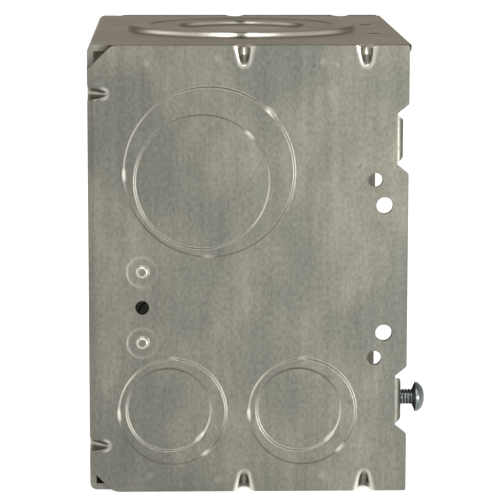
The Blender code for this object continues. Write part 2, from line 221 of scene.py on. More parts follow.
class Places:
    """Places on the flat blank, with the arms that they lie on."""

    def __init__(self, blank, u, v, side_arm, end_arm):
        self.blank = blank
        self.u = u
        self.v = v
        self.side_arm = side_arm
        self.end_arm = end_arm

    def from_side(self, x, z):
        """Offsets and distance from a spot of the side walls, given by its depth and height."""
        a = np.abs(self.u) - self.blank.out(x)
        b = self.v - z
        return a, b, np.hypot(a, b)

    def from_end(self, top):
        """Offset along the depth and distance from the top or bottom rings' middle, and where."""
        a = np.abs(self.v) - self.blank.out(END_RINGS_DEPTH)
        here = self.end_arm & (self.v * (1 if top else -1) > 0)
        return a, np.hypot(a, self.u), here

    def on_side(self, values):
        return np.where(self.side_arm, values, 0)


def back_fold(blank, out):
    """Carry a distance along the blank round the back bend.

    Up to the flat half width it stays in the plate. Then it runs round a quarter circle with the
    bend's radius and goes on straight. Gives the depth, the distance from the middle, and the
    cosine and sine of the fold angle.
    """
    past = np.maximum(out - blank.flat, 0)
    angle = np.minimum(past / blank.bend, RIGHT_ANGLE)
    run = np.maximum(past - blank.quarter, 0)
    depth = blank.bend * (1 - np.cos(angle)) + run
    middle = np.minimum(out, blank.flat) + blank.bend * np.sin(angle)
    return depth, middle, np.cos(angle), np.sin(angle)


def smooth(x):
    """0 up to 0, 1 from 1, and 3 x squared minus 2 x cubed between them."""
    x = np.clip(x, 0, 1)
    return x * x * (3 - 2 * x)


def fold(blank, u, v):
    """Fold the blank: points and outward normals of its outer skin as arrays of rows x, y, z.

    Each arm follows the back bend. An ear turns in round a second quarter circle at the front, and
    a flange turns down round one at its wall's edge, by an angle that fades in with the depth.
    """
    su = np.sign(u)
    sv = np.sign(v)
    au = np.abs(u)
    av = np.abs(v)
    side_arm = (au > blank.flat) & (av < HALF + 2.6)
    end_arm = (av > blank.flat) & ~side_arm
    point = np.stack([np.zeros_like(u), u, v], 1)
    normal = np.tile([-1.0, 0.0, 0.0], (len(u), 1))

    # Near and far walls, with their ears
    depth, middle, cosine, sine = back_fold(blank, au)
    turn = np.maximum(au - blank.out(blank.ear_root), 0)
    in_ear = side_arm & (np.abs(av - blank.ear_spread) < blank.ear_notch + 0.05)
    angle = np.where(in_ear, np.minimum(turn / blank.ear_bend, RIGHT_ANGLE), 0)
    run = np.where(in_ear, np.maximum(turn - blank.ear_bend * RIGHT_ANGLE, 0), 0)
    ear_depth = blank.ear_root + blank.ear_bend * np.sin(angle)
    ear_middle = HALF - blank.ear_bend * (1 - np.cos(angle)) - run
    depth = np.where(in_ear & (turn > 0), ear_depth, depth)
    middle = np.where(in_ear & (turn > 0), ear_middle, middle)
    wall = np.stack([depth, su * middle, v], 1)
    wall_normal = [np.sin(angle) - cosine, su * sine * np.cos(angle), np.zeros_like(u)]
    point = np.where(side_arm[:, None], wall, point)
    normal = np.where(side_arm[:, None], np.stack(wall_normal, 1), normal)

    # Top and bottom walls, with flanges folded down inside the side walls
    depth, middle, cosine, sine = back_fold(blank, av)
    past = np.maximum(au - blank.flange_flat, 0)
    amount = smooth((depth - FLANGE_FROM) / FLANGE_FADE)
    full = amount > 0.999
    angle = np.minimum(past / blank.bend, RIGHT_ANGLE) * amount
    turned = blank.bend * np.sin(angle)
    partly = np.where(amount > 0, turned / np.maximum(amount, 1e-3), past)
    across = np.minimum(au, blank.flange_flat) + np.where(full, turned, partly)
    run = np.where(full, np.maximum(past - blank.quarter, 0), 0)
    drop = blank.bend * (1 - np.cos(angle)) + run
    wall = np.stack([depth, su * across, sv * (middle - drop)], 1)
    wall_normal = np.stack([-cosine, su * np.sin(angle), sv * sine * np.cos(angle)], 1)
    point = np.where(end_arm[:, None], wall, point)
    normal = np.where(end_arm[:, None], wall_normal, normal)
    normal /= np.linalg.norm(normal, axis=1)[:, None]
    return point, normal, side_arm, end_arm


# ---- Pressings


def tie_bump(angle, ties, half_width):
    """How near an angle lies to one of the ties, from 0 to 1."""
    near = np.zeros_like(angle)
    for tie in ties:
        gap = np.abs((angle - math.radians(tie) + math.pi) % (2 * math.pi) - math.pi)
        near = np.maximum(near, smooth(1 - gap / half_width))
    return near


def ring_height(a, b, radius, riser, ties):
    """1 inside a ring, 0 outside it, and a smooth slope between them that widens at each tie."""
    r = np.hypot(a, b)
    tie = tie_bump(np.arctan2(b, a), ties, 1.9 / radius)
    outer = radius + 0.95 * tie
    width = riser + 1.25 * tie
    return smooth((outer - r) / width)


def side_rings(blank):
    """Rings of the side walls: depth, height from the middle, radius, step and ties in degrees."""
    step = blank.side_step
    x, z = BIG_PAIR
    dx, dz = BIG_INNER_SHIFT
    rings = [(x, z, ONE_QUARTER, step, (45, 182, 269)), (x + dx, z + dz, ONE_INCH, -step, (45,))]
    dx, dz = SMALL_INNER_SHIFT
    for sign, ties in ((-1, (90, 183, 308)), (1, (90, 182, 315))):
        x = SMALL_PAIRS[0] + sign * SMALL_SPREAD
        z = SMALL_PAIRS[1]
        rings.append((x, z, THREE_QUARTER, step, ties))
        rings.append((x + dx, z + dz, HALF_INCH, -step, (317,)))
    return rings


def side_bosses():
    """Bosses above and below the left hole: depth and height from the middle."""
    return [(LEFT_COLUMN[0], LEFT_COLUMN[1] + BOSS_SPACING * sign) for sign in (-1, 1)]


def weld_marks():
    """Weld marks at both ends of the side walls: depth, height from the middle and radius."""
    return [(x, sign * (HALF - z), radius) for x, z, radius in WELDS for sign in (-1, 1)]


def end_rings(blank, top):
    """Rings of the top or bottom wall: radius, step and ties. The bottom's are pressed inwards."""
    out = 1 if top else -1
    return [
        (TWO_INCH, out * blank.top_step, (92, 268)),
        (ONE_HALF, out * (END_INNER_STEP - blank.top_step), (2, 178)),
        (ONE_INCH, -out * END_INNER_STEP, (90, 270)),
    ]


def plate_rings():
    """Rings of the back plate: u, v, radius, step, riser width and ties."""
    return [
        (0.0, 0.0, THREE_QUARTER, -0.6, 0.5, (45, 225)),
        (0.0, 0.0, HALF_INCH, 0.6, 0.5, (135,)),
        (-28.0, -24.0, HALF_INCH, -0.6, 0.5, (90, 270)),
        (28.0, -24.0, HALF_INCH, -0.6, 0.5, (90, 270)),
        (0.0, EARTH_LIFT, 7.0, -1.2, 1.4, ()),
    ]


def pressed_height(places):
    """How far the pressings lift the sheet along its normal, summed over all of them.

    A ring adds its step inside its radius, a boss its rise less a shallow moat, a weld a dent, and
    the big inner disc a bulge that falls with the square of the distance from its middle.
    """
    blank = places.blank
    rings = side_rings(blank)
    height = np.zeros_like(places.u)
    for x, z, radius, step, ties in rings:
        a, b, _ = places.from_side(x, z)
        height += places.on_side(step * ring_height(a, b, radius, blank.riser, ties))
    for x, z in side_bosses():
        r = places.from_side(x, z)[2]
        boss = BOSS_RISE * smooth((1.95 - r) / 0.8) - BOSS_MOAT * smooth((4.1 - r) / 0.45)
        height += places.on_side(boss)
    for x, z, radius in weld_marks():
        r = places.from_side(x, z)[2]
        height -= places.on_side(WELD_DENT * smooth((radius - r) / 0.9))
    x, z, radius = rings[1][:3]
    r = places.from_side(x, z)[2]
    height += places.on_side(DISC_BULGE * np.clip(1 - (r / (radius - 0.8)) ** 2, 0, 1))
    for top in (True, False):
        a, _, here = places.from_end(top)
        for radius, step, ties in end_rings(blank, top):
            ring = ring_height(a, places.u, radius, blank.end_riser, ties)
            height += np.where(here, step * ring, 0)
    plate = ~(places.side_arm | places.end_arm)
    for cu, cv, radius, step, riser, ties in plate_rings():
        ring = ring_height(places.u - cu, places.v - cv, radius, riser, ties)
        height += np.where(plate, step * ring, 0)
    return height


def ring_rub_and_highlight(places):
    """How bright each ring's edge and ties are painted: partly the punch's rubbing, partly a
    painted highlight that follows which way the edge faces, with painted glare on the end walls'
    inner discs.
    """
    riser = places.blank.riser
    layers = []
    for x, z, radius, step, ties in side_rings(places.blank):
        a, b, r = places.from_side(x, z)
        tie = tie_bump(np.arctan2(b, a), ties, 2.2 / radius)
        line = smooth(1.2 - np.abs(r - radius + riser * 0.5) / (0.26 + 0.4 * tie))
        # Painted highlight: the line is brighter where the edge faces left or right, on the upper
        # half of a raised ring and the lower half of a sunk one, and more on one side, as the side
        # lamps fall on it
        side_on = smooth(np.abs(a) / np.maximum(r, TINY) / 0.85)
        up = b / np.maximum(r, TINY)
        if step > 0:
            lit = smooth((up + 0.55) / 0.6)
            faint = 0.1 + 0.2 * smooth(-up)
            back, front = 0.95, 0.8
        else:
            lit = 0.25 + 0.75 * smooth((0.6 - up) / 0.6)
            faint = 0.16
            back, front = 0.75, 1.0
        lit = np.maximum(lit, 0.8 * tie)
        strength = faint + side_on * lit * np.where(a < 0, back, front)
        layers.append(places.on_side(line * strength))
    for x, z in side_bosses():
        r = places.from_side(x, z)[2]
        layers.append(places.on_side(0.7 * smooth(1 - np.abs(r - 1.35) / 0.6)))
        layers.append(places.on_side(0.12 * smooth(1 - np.abs(r - 3.9) / 0.5)))
    for x, z, radius in weld_marks():
        r = places.from_side(x, z)[2]
        layers.append(places.on_side(0.08 * smooth((radius * 1.1 - r) / 1.2)))
    for top in (True, False):
        _, r, here = places.from_end(top)
        # Painted glare in the middle of the top and bottom walls' inner discs
        layers.append(0.14 * here * smooth((ONE_INCH * 0.9 - r) / 5))
        for radius, step, _ in end_rings(places.blank, top):
            # Painted highlight on the top and bottom rings' edges, strongest where they face the
            # front or the back
            line = smooth(1 - np.abs(r - radius + riser * 0.6) / 0.6)
            line = line * smooth((np.abs(places.u) / np.maximum(r, TINY) - 0.25) / 0.6)
            layers.append(here * line * min(abs(step), 1.0))
    return np.max(layers, axis=0)


def ring_shade(places):
    """Painted shade on the side rings' upper ties, which face up, and on the top and bottom rings
    where they run front to back.
    """
    riser = places.blank.riser
    layers = []
    for x, z, radius, _, ties in side_rings(places.blank):
        a, b, r = places.from_side(x, z)
        upper = [tie for tie in ties if 80 < tie < 100]
        line = smooth(1.2 - np.abs(r - radius + riser * 0.5) / 0.6)
        spot = line * tie_bump(np.arctan2(b, a), upper, 3.0 / radius)
        layers.append(places.on_side(0.55 * spot))
    for top in (True, False):
        a, r, here = places.from_end(top)
        side_on = smooth((np.abs(a) / np.maximum(r, TINY) - 0.72) / 0.25)
        for radius, _, _ in end_rings(places.blank, top):
            line = smooth(1.1 - np.abs(r - radius + riser * 0.85) / 0.7)
            layers.append(0.6 * here * line * side_on)
    return np.max(layers, axis=0)


def seam_shade(places, seam_shade_kept):
    """Painted shade in the seams: on the flanges' bends, growing towards the side wall, and on its
    top rim.

    Gives a value for each layer of points: outer and inner skin, then outer and inner rim.
    """
    blank = places.blank
    au = np.abs(places.u)
    av = np.abs(places.v)
    past = (au - blank.flange_flat) / blank.quarter
    seam = places.end_arm & (av > blank.out(FLANGE_FULL))
    bend = np.where(seam, smooth((past - 0.05) / 0.5), 0) * 0.85 * seam_shade_kept
    # Painted dark line along the side wall's top edge, in the crease
    edge = ~places.end_arm & (av > HALF - 0.02) & (au > blank.out(3.0))
    rim = np.where(edge, 0.7, 0) * seam_shade_kept
    return np.concatenate([bend, np.zeros_like(bend), np.maximum(bend, rim), rim])


def gussets():
    """Each gusset: crease corner, outward diagonal and axis along the crease."""
    found = []
    for sy in (-1, 1):
        for sz in (-1, 1):
            for x in GUSSET_DEPTHS:
                found.append(((x, sy * HALF, sz * HALF), (0.0, sy, sz), 0))
        for z in (HALF - GUSSET_INSET, GUSSET_INSET - HALF):
            found.append(((0.0, sy * HALF, z), (-1.0, sy, 0.0), 2))
    return found


def gusset_shift(blank, point, nested):
    """Press a trough across each crease, and give its painted highlights, where the seams' painted
    shade is left off, and its own painted shade.

    A point moves against the outward diagonal by how far it lies past the trough's slanting floor:
    reach / sqrt 2 plus its distance along the diagonal. Steep walls at the trough's half width and
    shallow flanks beside them fade that out sideways, and a square of the distance from the middle
    rounds its end. nested is the same point moved out to the side wall's face, so that a flange
    follows the wall that covers it.
    """
    shift = np.zeros_like(point)
    marks = []
    deepest = blank.gusset_reach / math.sqrt(2)
    for corner, outward, axis in gussets():
        outward = np.array(outward) / math.sqrt(2)
        away = nested - np.array(corner)
        beside = np.abs(away[:, axis])
        away[:, axis] = 0
        past = deepest + away @ outward
        near = (past > -0.8) & (beside < blank.gusset_flank + 0.2) & (past < deepest + 1)

        # The trough and its flanks
        fill = np.clip(past / deepest, 0, 1)
        half = blank.gusset_half * (0.85 if axis == 2 else 1.0) + 0.25 * fill
        wall = smooth((half + 0.4 - beside) / 0.95)
        groove = past - 0.9 * (beside / half) ** 2
        groove = 0.5 * (groove + np.sqrt(groove * groove + 0.05)) * smooth((past + 0.7) / 0.7)
        spread = blank.gusset_flank * (0.6 + 0.4 * fill)
        flank = GUSSET_FLANK_LIFT * smooth((past + 0.6) / deepest) * smooth((spread - beside) / 1.9)
        shift -= (near * (groove * wall + flank * (1 - wall)))[:, None] * outward

        # Painted highlight on a ridge round the trough, and painted light on its floor
        round_out = np.hypot(beside, np.minimum(past - 0.6, 0) * 1.4)
        width = 0.8 + 1.2 * fill
        ridge = smooth((half + width - round_out) / (0.6 + 0.8 * fill))
        ridge = ridge * smooth((round_out - half + 0.35) / 0.6)
        ridge = ridge * smooth((past + 1.0) / 1.2) * (0.5 + 0.3 * fill)
        if axis == 2:
            ridge = ridge * smooth(1.15 - past / 1.4)
        in_trough = smooth((half - round_out) / 0.4)
        floor = in_trough * (0.6 - 0.3 * np.clip(past - 0.4, 0, 1) + 0.2 * fill)

        # No painted seam shade in the trough, but painted shade of its own at the back and below,
        # and on a lip in the dent on the far wall
        trough_band = smooth((half + 1.2 - beside) / 0.8)
        painted_dark = near * in_trough * (0.38 if axis == 2 else 0.5 * (outward[2] < 0))
        if axis == 0 and outward[1] > 0:
            lip = smooth((past + 1.5) / 0.5) * smooth((0.9 - past) / 0.4)
            lip = 0.85 * lip * smooth((half + 1.2 - beside) / 0.6)
            painted_dark = np.maximum(painted_dark, lip * (np.abs(away[:, 2]) < 0.3))
        marks.append((near * np.maximum(ridge, floor), near * trough_band, painted_dark))
    rub_and_highlight, trough_band, painted_dark = np.max(marks, axis=0)
    return shift, rub_and_highlight, 1 - trough_band, painted_dark


# ---- Layout of the blank's mesh


def chain(count):
    """Edges that join consecutive points in a loop. Two points make a single edge."""
    first = np.arange(count if count > 2 else 1)
    return np.stack([first, (first + 1) % count], 1)


def circles(cu, cv, radii, count):
    """A loop of points for each radius: the middle plus the radius times cosine and sine."""
    angle = np.arange(count) * (2 * math.pi / count)
    ring = np.stack([np.cos(angle), np.sin(angle)], 1)
    return [ring * radius + (cu, cv) for radius in radii]


def line(u, v):
    """Points of a straight line: one of the two is a number and the other an array."""
    return np.stack(np.broadcast_arrays(u, v), 1)


def rounded(points, radii, steps=4):
    """Round each corner of an open chain by an arc, as a quadratic curve through its two ends."""
    points = [np.array(point) for point in points]
    made = [points[0][None]]
    t = np.linspace(0, 1, steps + 1)[:, None]
    for before, corner, after, radius in zip(points[:-2], points[1:-1], points[2:], radii):
        if radius <= 0:
            made.append(corner[None])
            continue
        ends = []
        for run in (before - corner, after - corner):
            long = np.linalg.norm(run)
            ends.append(corner + run / long * min(radius, long * 0.45))
        made.append((1 - t) ** 2 * ends[0] + 2 * t * (1 - t) * corner + t * t * ends[1])
    made.append(points[-1][None])
    return np.concatenate(made)


def quarter_outline(blank):
    """Outline from the near arm's front, past its ear and cut corner, to the top arm's front."""
    front = blank.out(blank.side_front)
    root = blank.out(blank.ear_root)
    tip = root + blank.ear_axis
    ear = blank.ear_spread
    half = blank.ear_half
    notch = [(front, blank.ear_mouth), (root, blank.ear_notch)]
    notch += [(root + 1.9, half + 0.15), (root + 2.6, half)]
    start = [(-front, 0.0)] + [(-out, ear - away) for out, away in notch] + [(-tip, ear - half)]
    wall = rounded(start, (0.3, 0.6, 0.3, 0.3))
    angle = np.linspace(-RIGHT_ANGLE, RIGHT_ANGLE, 17)[1:-1]
    round_tip = np.stack([-tip - half * np.cos(angle), ear + half * np.sin(angle)], 1)
    cut = 6.2
    after = [(-tip, ear + half)] + [(-out, ear + away) for out, away in reversed(notch)]
    after += [(-front, HALF), (-blank.out(cut), HALF)]
    after += [(-blank.out(1.8), HALF - cut + 1.8)]
    upper = rounded(after, (0.3, 0.3, 0.6, 0.3, 0.5, 1.6))
    depth = np.linspace(1.7, 0.0, 8)
    slant = np.stack([-blank.out(depth), HALF - cut + depth], 1)
    inner = CORNER_CLEAR - HALF
    bend_end = -blank.flange_flat - blank.quarter
    last = blank.out(DEPTH)
    foot = blank.out(6.5)
    corner = [(inner, HALF - 5.2), (inner, blank.out(4.6)), (inner, foot)]
    corner += [(-blank.flange_end, foot), (-blank.flange_end, last - 1.4)]
    corner += [(bend_end - 0.3, last - 1.4), (bend_end + 0.9, last), (0.0, last)]
    flange = rounded(corner, (0.0, 0.6, 2.0, 0.3, 0.3, 0.3))
    return np.concatenate([wall, round_tip, upper, slant, flange])


def whole_outline(blank):
    """The quarter's outline mirrored to the other three, with the bottom wall's front cut back."""
    up = quarter_outline(blank)
    right = (up * (-1, 1))[::-1][1:]
    lower = (up * (-1, -1))[1:]
    left = (up * (1, -1))[::-1][1:-1]
    for part in (lower, left):
        part[:, 1] = np.maximum(part[:, 1], -blank.out(blank.side_front))
    return np.concatenate([up, right, lower, left])


def holes(blank):
    """Round holes: u, v and radius."""
    found = []
    column = blank.out(FRONT_COLUMN)
    ear = blank.out(blank.ear_root) + blank.ear_axis
    for su in (-1, 1):
        for sign in (-1, 1):
            found += [
                (su * column, HOLES_MIDDLE + sign * FRONT_SPREAD, 2.1),
                (su * blank.out(OUTER_COLUMN), HOLES_MIDDLE + sign * OUTER_SPREAD, 1.85),
                (sign * FRONT_SPREAD, su * column, 1.6),
                (su * PLATE_SPREAD, sign * PLATE_SPREAD, 2.6),
                (su * ear, sign * blank.ear_spread, 2.35),
            ]
        found.append((su * blank.out(LEFT_COLUMN[0]), LEFT_COLUMN[1], 1.8))
    return found + [(0.0, EARTH_LIFT, 2.2)]


def ring_loops(cu, cv, radius, riser, spacing):
    """Loops of points across a knockout's sloping edge, set closer where it bends."""
    inside = [-0.25 * riser, -0.5 * riser, -0.75 * riser, -riser]
    inside += [-riser - 0.14, -riser - 0.4, -riser - 0.75]
    offsets = [1.2, 0.95, 0.65, 0.38, 0.16, 0.0] + inside
    count = int(2 * math.pi * radius / spacing)
    return circles(cu, cv, [radius + offset for offset in offsets], count)


def side_loops(blank, su):
    """Loops of the near or far wall: knockouts, bosses and weld marks."""
    boss = (5.0, 4.5, 4.3, 4.1, 3.95, 3.8, 3.65, 3.0, 2.3, 2.1)
    boss += (1.95, 1.8, 1.65, 1.5, 1.35, 1.2, 1.1, 0.8, 0.4)
    loops = []
    for x, z, radius, _, _ in side_rings(blank):
        loops += ring_loops(su * blank.out(x), z, radius, blank.riser, 1.35)
    for x, z in side_bosses():
        loops += circles(su * blank.out(x), z, boss, 32)
    for x, z, radius in weld_marks():
        parts = [radius * part for part in (1.1, 1.0, 0.8, 0.6, 0.4, 0.2)]
        loops += circles(su * blank.out(x), z, parts, 16)
    return loops


def end_loops(blank):
    """Loops of the top and bottom walls' knockouts and of their inner discs."""
    loops = []
    for top in (True, False):
        middle = blank.out(END_RINGS_DEPTH) * (1 if top else -1)
        for radius, _, _ in end_rings(blank, top):
            loops += ring_loops(0.0, middle, radius, blank.end_riser, 1.6)
        loops += circles(0.0, middle, [ONE_INCH * part for part in (0.85, 0.65, 0.4)], 36)
    return loops


def bend_lines(blank):
    """Lines along each bend, with one more on each side to keep the flat sheet flat.

    They have points of their own where a gusset crosses them.
    """
    beside = np.linspace(-3.1, 3.1, 23)
    along = [np.arange(-48.0, 49.0, 8.0), [-HALF + 0.2, HALF - 0.2]]
    along += [sign * (HALF - GUSSET_INSET) + beside for sign in (-1, 1)]
    along = np.unique(np.concatenate(along).round(4))
    ahead = np.concatenate([blank.out(x) + beside for x in GUSSET_DEPTHS])
    clear = HALF - 2.6
    angles = np.linspace(0, RIGHT_ANGLE, 11)
    bend = np.concatenate([[-0.25], angles * blank.bend, [blank.quarter + 0.25]])
    ear = [[-0.3], angles * blank.ear_bend, [blank.ear_bend * RIGHT_ANGLE + 0.2]]
    lines = []
    for sign in (-1, 1):
        for out in bend + blank.flat:
            lines += [line(sign * out, along), line((-clear, clear), sign * out)]
        for out in bend + blank.flange_flat:
            low = blank.out(FLANGE_FROM if out < HALF - CORNER_CLEAR else FLANGE_FULL)
            run = np.unique(np.concatenate([[low, blank.out(DEPTH) + 0.2], ahead]).round(4))
            lines += [line(other * out, sign * run) for other in (-1, 1)]
        for other in (-1, 1):
            for turn in np.concatenate(ear):
                out = sign * (blank.out(blank.ear_root) + turn)
                middle = other * blank.ear_spread
                reach = blank.ear_notch - 0.05 if turn < 2.2 else blank.ear_half + 0.1
                lines.append(line(out, (middle - reach, middle + reach)))
    return lines


def gusset_points(blank):
    """Fine grids of points where the gussets press the blank."""
    reach = blank.gusset_flank + 0.2
    beside = np.linspace(-reach, reach, 23)
    side_rows = np.arange(0.2, 7.3, 0.36)
    flange = blank.flange_flat
    end_rows = np.arange(flange - 6.2, flange + blank.quarter + 4.6, 0.45)
    plate_rows = np.arange(-6.6, blank.out(7.4) - blank.flat, 0.4) + blank.flat
    grids = []
    for x in GUSSET_DEPTHS:
        grids += [(beside + blank.out(x), HALF - side_rows), (end_rows, beside + blank.out(x))]
    grids.append((plate_rows, beside + HALF - GUSSET_INSET))
    quarter = [np.stack([a.ravel(), b.ravel()], 1) for a, b in (np.meshgrid(*g) for g in grids)]
    quarter = np.concatenate(quarter)
    return np.concatenate([quarter * (su, sv) for su in (-1, 1) for sv in (-1, 1)])


def edge_points(blank, outline):
    """Set the outline's points closer where a gusset crosses one of its long straight edges."""
    long_edge = 4
    beside = np.linspace(-3.2, 3.2, 33)
    spots = [sign * blank.out(x) for x in GUSSET_DEPTHS for sign in (-1, 1)]
    crossings = np.concatenate([spot + beside for spot in spots])
    made = []
    for start, end in zip(outline, np.roll(outline, -1, axis=0)):
        made.append(start[None])
        run = end - start
        t = [
            (crossings - start[axis]) / run[axis]
            for axis in (0, 1)
            if abs(run[axis]) >= long_edge and abs(start[1 - axis]) >= HALF - 0.1
        ]
        if t:
            t = np.sort(np.concatenate(t))
            t = t[(t > 0.001) & (t < 0.999)]
            made.append(start + t[:, None] * run)
    return np.concatenate(made)


def inside(polygon, points):
    """Which points lie inside a polygon, by counting the edges that a ray to the right crosses."""
    crossed = np.zeros(len(points), bool)
    for (x0, y0), (x1, y1) in zip(polygon, np.roll(polygon, -1, axis=0)):
        if y0 == y1:
            continue
        straddles = (y0 > points[:, 1]) != (y1 > points[:, 1])
        at = x0 + (points[:, 1] - y0) * (x1 - x0) / (y1 - y0)
        crossed ^= straddles & (points[:, 0] < at)
    return crossed


def flat_mesh(blank):
    """Triangulate the blank and keep the triangles inside its outline and outside its holes."""
    outline = edge_points(blank, whole_outline(blank))
    hole_list = holes(blank)
    loops = [outline]
    for cu, cv, radius in hole_list:
        loops += circles(cu, cv, (radius, radius + 0.12), 36)
    loops += side_loops(blank, -1) + end_loops(blank) + side_loops(blank, 1)
    for cu, cv, radius, _, riser, _ in plate_rings():
        loops += ring_loops(cu, cv, radius, riser, 1.6)
    loops += bend_lines(blank)

    # A bend line's closing edge lies on the line itself
    starts = np.cumsum([0] + [len(part) for part in loops])
    edges = np.concatenate([chain(len(part)) + start for part, start in zip(loops, starts)])
    points = np.concatenate(loops + [gusset_points(blank)])
    result = delaunay_2d_cdt(points.tolist(), edges.tolist(), [], 0, 1e-4, False)
    flat = np.array([tuple(p) for p in result[0]])
    triangles = np.array(result[2])
    centre = flat[triangles].mean(axis=1)
    keep = inside(outline, centre)
    for cu, cv, radius in hole_list:
        keep &= np.hypot(centre[:, 0] - cu, centre[:, 1] - cv) > radius * 0.995
    triangles = triangles[keep]
    a, b, c = (flat[triangles[:, i]] for i in range(3))
    area = (b[:, 0] - a[:, 0]) * (c[:, 1] - a[:, 1]) - (b[:, 1] - a[:, 1]) * (c[:, 0] - a[:, 0])
    triangles = np.where((area < 0)[:, None], triangles[:, ::-1], triangles)
    triangles = triangles[np.abs(area) > 1e-7]
    used, renumber = in_use(len(flat), triangles)
    return flat[used], renumber[triangles]


# ---- Sheet


def in_use(count, *parts):
    """The points that any part uses, and each point's new number among them."""
    used = np.unique(np.concatenate([part.ravel() for part in parts]))
    renumber = np.full(count, -1)
    renumber[used] = np.arange(len(used))
    return used, renumber


def boundary(triangles):
    """Directed edges that only one triangle uses."""
    edges = np.concatenate([triangles[:, [0, 1]], triangles[:, [1, 2]], triangles[:, [2, 0]]])
    count = int(edges.max()) + 1
    key = edges[:, 0] * count + edges[:, 1]
    back = edges[:, 1] * count + edges[:, 0]
    return edges[~np.isin(key, back)]


def add_object(name, data):
    thing = bpy.data.objects.new(name, data)
    bpy.context.scene.collection.objects.link(thing)
    return thing


def new_object(name, vertices, faces, uv=None, attributes=None, sharp=None):
    """Make an object at the origin from arrays of places in millimetres and faces."""
    mesh = bpy.data.meshes.new(name)
    mesh.from_pydata((vertices * METRES).tolist(), [], faces)
    mesh.validate()
    if uv is not None:
        layer = mesh.uv_layers.new(name="sheet")
        corner = np.empty(len(mesh.loops), np.int32)
        mesh.loops.foreach_get("vertex_index", corner)
        layer.uv.foreach_set("vector", (uv[corner] * METRES).astype(np.float32).ravel())
    for key, values in (attributes or {}).items():
        layer = mesh.attributes.new(key, "FLOAT", "POINT")
        layer.data.foreach_set("value", values.astype(np.float32))
    mesh.shade_smooth()
    if sharp is not None:
        mesh.set_sharp_from_angle(angle=math.radians(sharp))
    return add_object(name, mesh)


def weld(mesh, distance):
    """Join points that lie together, and face the mesh outwards."""
    work = bmesh.new()
    work.from_mesh(mesh)
    bmesh.ops.remove_doubles(work, verts=work.verts, dist=distance)
    bmesh.ops.recalc_face_normals(work, faces=work.faces)
    work.to_mesh(mesh)
    work.free()


def make_sheet(sizes):
    """The folded sheet: an outer and an inner skin one thickness apart, and a rim between them.

    Each skin is the fold of the flat mesh, moved along its normal by the pressed height and then
    by the gussets' shift.
    """
    blank = Blank(sizes)
    flat, triangles = flat_mesh(blank)
    u = flat[:, 0]
    v = flat[:, 1]
    point, normal, side_arm, end_arm = fold(blank, u, v)
    places = Places(blank, u, v, side_arm, end_arm)
    height = pressed_height(places)

    # A flange and its bend follow the side wall that covers them
    nested = point.copy()
    cover = np.clip((np.abs(u) - blank.flange_flat) / blank.quarter, 0, 1) * end_arm
    nested[:, 1] += np.sign(u) * cover * (HALF - blank.flange_face)
    shift, rub_and_highlight, seam_shade_kept, painted_dark = gusset_shift(blank, point, nested)
    outer = point + normal * height[:, None] + shift
    inner = point + normal * (height - blank.sheet)[:, None] + shift
    vertices = np.concatenate([outer, inner, outer, inner])
    vertices[:, 0] += BACK_X
    vertices[:, 2] += HALF

    # The rim has its own copies of the edge points, so that its cut face can be marked
    count = len(flat)
    a, b = (boundary(triangles) + 2 * count).T
    parts = (triangles[:, ::-1], triangles + count, np.stack([a, b, b + count, a + count], 1))
    used, renumber = in_use(len(vertices), *parts)
    faces = [face for part in parts for face in renumber[part].tolist()]

    # Cut edges, rubbed places with painted highlights, and painted shade. The side walls' inner
    # faces get painted shade
    cut = np.concatenate([np.zeros(2 * count), np.ones(2 * count)])
    rub_and_highlight = np.maximum(rub_and_highlight, ring_rub_and_highlight(places))
    wear_and_highlight = np.concatenate([rub_and_highlight, rub_and_highlight * 0.3] * 2)
    painted_dark = np.maximum(painted_dark, ring_shade(places))
    # Painted shade: trough and ring marks on the outer skin and rim, and half strength on the side
    # walls' inner skin
    painted_shade = np.concatenate([painted_dark, 0.5 * side_arm, painted_dark, painted_dark * 0])
    painted_shade = np.maximum(painted_shade, seam_shade(places, seam_shade_kept))
    attributes = {"cut": cut[used], "wear_and_highlight": wear_and_highlight[used], "painted_shade": painted_shade[used]}
    uv = np.concatenate([flat] * 4)[used]
    return new_object("folded_sheet", vertices[used], faces, uv, attributes, 40)


# ---- Screws


def grid_faces(rows, columns, closed_columns):
    """Faces of a grid of points, counted row by row."""
    i = np.arange(rows - 1)[:, None]
    j = np.arange(columns if closed_columns else columns - 1)[None, :]
    k = (j + 1) % columns
    corners = [i * columns + j, i * columns + k, (i + 1) * columns + k, (i + 1) * columns + j]
    return np.stack(corners, -1).reshape(-1, 4)


def shank_arrays(sizes):
    """A threaded shank along +X, with the head's underside at 0, closed by a fan at each end.

    The radius is a rounded triangle wave of the distance along the helix, tapered at the tip.
    """
    rows = 100
    sides = 40
    x = np.linspace(-SCREW_LENGTH, SHANK_INSIDE, rows)[:, None]
    turn = np.linspace(0, 2 * math.pi, sides, endpoint=False)[None, :]
    phase = (x / (sizes.pitch * MM) - turn / (2 * math.pi)) % 1.0
    wave = np.clip(np.abs(phase - 0.5) * 2.6 - 0.25, 0, 1)
    taper = smooth((x + SCREW_LENGTH) / 1.6) * 0.35 + 0.65
    depth = sizes.thread_depth * MM
    r = (sizes.radius * MM - depth * (1 - smooth(wave))) * taper
    points = np.stack([np.broadcast_to(x, r.shape), r * np.cos(turn), r * np.sin(turn)], -1)
    points = np.concatenate([points.reshape(-1, 3), [[-SCREW_LENGTH, 0, 0], [SHANK_INSIDE, 0, 0]]])
    tip = rows * sides
    first = np.arange(sides)
    after = (first + 1) % sides
    last = (rows - 1) * sides
    tip_fan = np.stack([np.full(sides, tip), after, first], 1)
    root_fan = np.stack([np.full(sides, tip + 1), first + last, after + last], 1)
    return points, grid_faces(rows, sides, True).tolist() + tip_fan.tolist() + root_fan.tolist()


